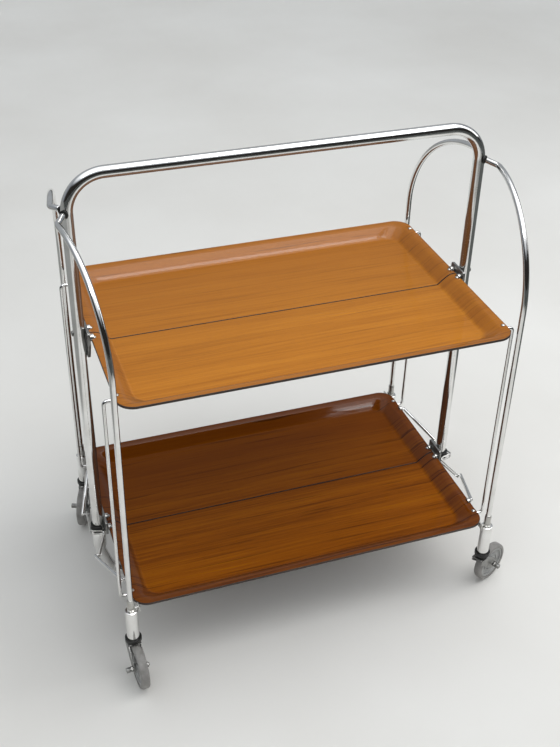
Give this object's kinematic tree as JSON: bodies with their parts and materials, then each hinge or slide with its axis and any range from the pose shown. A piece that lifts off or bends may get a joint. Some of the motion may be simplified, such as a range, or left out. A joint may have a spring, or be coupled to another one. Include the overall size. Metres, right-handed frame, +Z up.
{
  "type": "folding serving trolley",
  "caption": "Folding serving trolley with dished wooden trays that split along the middle, on a chromed tube frame with arched legs and swivel casters.",
  "frame": {"origin": "on the floor below the middle of the outer bounds; the middle of the frame lies 13.1 mm towards -X and 13.1 mm towards +Y of it, because the casters stand turned", "axes": "+X along the push bar to the right, +Y to the rear, +Z up"},
  "size_m": [0.7005, 0.4941, 0.774],
  "materials": {
    "chrome": "bright chromed steel",
    "teak": "satin lacquered teak grain",
    "black": "black moulded plastic",
    "steel": "plated steel",
    "grey_plastic": "grey moulded plastic",
    "tyre": "grey rubber"
  },
  "bodies": {
    "frame": {"handle_tube": "chrome", "lower_frame_tube": "chrome", "joint_collar_left": "chrome", "joint_collar_right": "chrome", "arch_grommet_front_left": "black", "arch_grommet_front_right": "black", "arch_grommet_rear_left": "black", "arch_grommet_rear_right": "black", "hinge_bracket_upper_left": "steel", "hinge_bracket_upper_right": "steel", "hinge_bracket_lower_left": "steel", "hinge_bracket_lower_right": "steel"},
    "upper_front_half": {"tray_upper_front": "teak"},
    "upper_rear_half": {"tray_upper_rear": "teak"},
    "lower_front_half": {"tray_lower_front": "teak"},
    "lower_rear_half": {"tray_lower_rear": "teak"},
    "tie_front_left": {"tie_rod_front_left": "chrome"},
    "ferrule_front_left_collar": {"ferrule_front_left": "steel"},
    "leg_front_left": {"leg_rod_front_left": "chrome", "leg_sleeve_front_left": "chrome"},
    "caster_front_left": {"caster_head_front_left": "black", "fork_front_left": "steel", "axle_front_left": "steel"},
    "wheel_front_left": {"wheel_disc_front_left": "grey_plastic", "tyre_front_left": "tyre"},
    "tie_front_right": {"tie_rod_front_right": "chrome"},
    "ferrule_front_right_collar": {"ferrule_front_right": "steel"},
    "leg_front_right": {"leg_rod_front_right": "chrome", "leg_sleeve_front_right": "chrome"},
    "caster_front_right": {"caster_head_front_right": "black", "fork_front_right": "steel", "axle_front_right": "steel"},
    "wheel_front_right": {"wheel_disc_front_right": "grey_plastic", "tyre_front_right": "tyre"},
    "tie_rear_left": {"tie_rod_rear_left": "chrome"},
    "ferrule_rear_left_collar": {"ferrule_rear_left": "steel"},
    "leg_rear_left": {"leg_rod_rear_left": "chrome", "leg_sleeve_rear_left": "chrome"},
    "caster_rear_left": {"caster_head_rear_left": "black", "fork_rear_left": "steel", "axle_rear_left": "steel"},
    "wheel_rear_left": {"wheel_disc_rear_left": "grey_plastic", "tyre_rear_left": "tyre"},
    "tie_rear_right": {"tie_rod_rear_right": "chrome"},
    "ferrule_rear_right_collar": {"ferrule_rear_right": "steel"},
    "leg_rear_right": {"leg_rod_rear_right": "chrome", "leg_sleeve_rear_right": "chrome"},
    "caster_rear_right": {"caster_head_rear_right": "black", "fork_rear_right": "steel", "axle_rear_right": "steel"},
    "wheel_rear_right": {"wheel_disc_rear_right": "grey_plastic", "tyre_rear_right": "tyre"},
    "slide_left": {"slide_clip_left": "black", "yoke_left": "steel"},
    "slide_right": {"slide_clip_right": "black", "yoke_right": "steel"},
    "link_front_left_rod": {"link_front_left": "chrome"},
    "link_front_right_rod": {"link_front_right": "chrome"},
    "link_rear_left_rod": {"link_rear_left": "chrome"},
    "link_rear_right_rod": {"link_rear_right": "chrome"}
  },
  "joints": [
    {"name": "upper_front_fold", "type": "hinge", "parent": "frame", "child": "upper_front_half", "pos_m": [-0.0131, 0.0001, 0.515], "axis": [-1, 0, 0], "range_deg": [0, 56]},
    {"name": "upper_rear_fold", "type": "hinge", "parent": "frame", "child": "upper_rear_half", "pos_m": [-0.0131, 0.0261, 0.515], "axis": [1, 0, 0], "range_deg": [0, 56]},
    {"name": "lower_front_fold", "type": "hinge", "parent": "frame", "child": "lower_front_half", "pos_m": [-0.0131, 0.0001, 0.143], "axis": [-1, 0, 0], "range_deg": [0, 56]},
    {"name": "lower_rear_fold", "type": "hinge", "parent": "frame", "child": "lower_rear_half", "pos_m": [-0.0131, 0.0261, 0.143], "axis": [1, 0, 0], "range_deg": [0, 56]},
    {"name": "tie_front_left_pivot", "type": "hinge", "parent": "upper_front_half", "child": "tie_front_left", "pos_m": [-0.3271, -0.1509, 0.506], "axis": [-1, 0, 0], "range_deg": [-56, 0]},
    {"name": "ferrule_front_left_pivot", "type": "hinge", "parent": "lower_front_half", "child": "ferrule_front_left_collar", "pos_m": [-0.3111, -0.1849, 0.1375], "axis": [-1, 0, 0], "range_deg": [-66.9, 0]},
    {"name": "leg_front_left_slide", "type": "slide", "parent": "ferrule_front_left_collar", "child": "leg_front_left", "axis": [0, 0, -1], "range_m": [0, 0.184]},
    {"name": "caster_front_left_swivel", "type": "hinge", "parent": "leg_front_left", "child": "caster_front_left", "pos_m": [-0.3181, -0.1849, 0.08], "axis": [0, 0, 1], "continuous": true},
    {"name": "wheel_front_left_spin", "type": "hinge", "parent": "caster_front_left", "child": "wheel_front_left", "pos_m": [-0.31622, -0.21183, 0.035], "axis": [0.9976, 0.0698, 0], "continuous": true},
    {"name": "tie_front_right_pivot", "type": "hinge", "parent": "upper_front_half", "child": "tie_front_right", "pos_m": [0.3009, -0.1509, 0.506], "axis": [-1, 0, 0], "range_deg": [-56, 0]},
    {"name": "ferrule_front_right_pivot", "type": "hinge", "parent": "lower_front_half", "child": "ferrule_front_right_collar", "pos_m": [0.2849, -0.1849, 0.1375], "axis": [-1, 0, 0], "range_deg": [-66.9, 0]},
    {"name": "leg_front_right_slide", "type": "slide", "parent": "ferrule_front_right_collar", "child": "leg_front_right", "axis": [0, 0, -1], "range_m": [0, 0.184]},
    {"name": "caster_front_right_swivel", "type": "hinge", "parent": "leg_front_right", "child": "caster_front_right", "pos_m": [0.2919, -0.1849, 0.08], "axis": [0, 0, 1], "continuous": true},
    {"name": "wheel_front_right_spin", "type": "hinge", "parent": "caster_front_right", "child": "wheel_front_right", "pos_m": [0.31639, -0.17353, 0.035], "axis": [-0.421, 0.907, 0], "continuous": true},
    {"name": "tie_rear_left_pivot", "type": "hinge", "parent": "upper_rear_half", "child": "tie_rear_left", "pos_m": [-0.3271, 0.1771, 0.506], "axis": [1, 0, 0], "range_deg": [-56, 0]},
    {"name": "ferrule_rear_left_pivot", "type": "hinge", "parent": "lower_rear_half", "child": "ferrule_rear_left_collar", "pos_m": [-0.3111, 0.2111, 0.1375], "axis": [1, 0, 0], "range_deg": [-66.9, 0]},
    {"name": "leg_rear_left_slide", "type": "slide", "parent": "ferrule_rear_left_collar", "child": "leg_rear_left", "axis": [0, 0, -1], "range_m": [0, 0.184]},
    {"name": "caster_rear_left_swivel", "type": "hinge", "parent": "leg_rear_left", "child": "caster_rear_left", "pos_m": [-0.3181, 0.2111, 0.08], "axis": [0, 0, 1], "continuous": true},
    {"name": "wheel_rear_left_spin", "type": "hinge", "parent": "caster_rear_left", "child": "wheel_rear_left", "pos_m": [-0.32786, 0.18593, 0.035], "axis": [0.9323, -0.3616, 0], "continuous": true},
    {"name": "tie_rear_right_pivot", "type": "hinge", "parent": "upper_rear_half", "child": "tie_rear_right", "pos_m": [0.3009, 0.1771, 0.506], "axis": [1, 0, 0], "range_deg": [-56, 0]},
    {"name": "ferrule_rear_right_pivot", "type": "hinge", "parent": "lower_rear_half", "child": "ferrule_rear_right_collar", "pos_m": [0.2849, 0.2111, 0.1375], "axis": [1, 0, 0], "range_deg": [-66.9, 0]},
    {"name": "leg_rear_right_slide", "type": "slide", "parent": "ferrule_rear_right_collar", "child": "leg_rear_right", "axis": [0, 0, -1], "range_m": [0, 0.184]},
    {"name": "caster_rear_right_swivel", "type": "hinge", "parent": "leg_rear_right", "child": "caster_rear_right", "pos_m": [0.2919, 0.2111, 0.08], "axis": [0, 0, 1], "continuous": true},
    {"name": "wheel_rear_right_spin", "type": "hinge", "parent": "caster_rear_right", "child": "wheel_rear_right", "pos_m": [0.31528, 0.2246, 0.035], "axis": [-0.5, 0.866, 0], "continuous": true},
    {"name": "slide_left_rise", "type": "slide", "parent": "frame", "child": "slide_left", "axis": [0, 0, 1], "range_m": [0, 0.0418]},
    {"name": "slide_right_rise", "type": "slide", "parent": "frame", "child": "slide_right", "axis": [0, 0, 1], "range_m": [0, 0.0418]},
    {"name": "link_front_left_pivot", "type": "hinge", "parent": "slide_left", "child": "link_front_left_rod", "pos_m": [-0.3383, -0.0389, 0.122], "axis": [-1, 0, 0], "range_deg": [0, 55.9]},
    {"name": "link_front_right_pivot", "type": "hinge", "parent": "slide_right", "child": "link_front_right_rod", "pos_m": [0.3121, -0.0389, 0.122], "axis": [-1, 0, 0], "range_deg": [0, 55.9]},
    {"name": "link_rear_left_pivot", "type": "hinge", "parent": "slide_left", "child": "link_rear_left_rod", "pos_m": [-0.3383, 0.0651, 0.122], "axis": [1, 0, 0], "range_deg": [0, 55.9]},
    {"name": "link_rear_right_pivot", "type": "hinge", "parent": "slide_right", "child": "link_rear_right_rod", "pos_m": [0.3121, 0.0651, 0.122], "axis": [1, 0, 0], "range_deg": [0, 55.9]}
  ],
  "couplings": [
    {"joint": "upper_rear_fold", "follows": "upper_front_fold", "ratio": 1},
    {"joint": "lower_front_fold", "follows": "upper_front_fold", "ratio": 1},
    {"joint": "lower_rear_fold", "follows": "upper_front_fold", "ratio": 1},
    {"joint": "tie_front_left_pivot", "follows": "upper_front_fold", "ratio": -1},
    {"joint": "ferrule_front_left_pivot", "follows": "upper_front_fold", "ratio": -1.1936},
    {"joint": "leg_front_left_slide", "follows": "upper_front_fold", "m_per_rad": 0.18814},
    {"joint": "tie_front_right_pivot", "follows": "upper_front_fold", "ratio": -1},
    {"joint": "ferrule_front_right_pivot", "follows": "upper_front_fold", "ratio": -1.1936},
    {"joint": "leg_front_right_slide", "follows": "upper_front_fold", "m_per_rad": 0.18814},
    {"joint": "tie_rear_left_pivot", "follows": "upper_front_fold", "ratio": -1},
    {"joint": "ferrule_rear_left_pivot", "follows": "upper_front_fold", "ratio": -1.1936},
    {"joint": "leg_rear_left_slide", "follows": "upper_front_fold", "m_per_rad": 0.18814},
    {"joint": "tie_rear_right_pivot", "follows": "upper_front_fold", "ratio": -1},
    {"joint": "ferrule_rear_right_pivot", "follows": "upper_front_fold", "ratio": -1.1936},
    {"joint": "leg_rear_right_slide", "follows": "upper_front_fold", "m_per_rad": 0.18814},
    {"joint": "slide_left_rise", "follows": "upper_front_fold", "m_per_rad": 0.042638},
    {"joint": "slide_right_rise", "follows": "upper_front_fold", "m_per_rad": 0.042638},
    {"joint": "link_front_left_pivot", "follows": "upper_front_fold", "ratio": 0.99735},
    {"joint": "link_front_right_pivot", "follows": "upper_front_fold", "ratio": 0.99735},
    {"joint": "link_rear_left_pivot", "follows": "upper_front_fold", "ratio": 0.99735},
    {"joint": "link_rear_right_pivot", "follows": "upper_front_fold", "ratio": 0.99735}
  ]
}
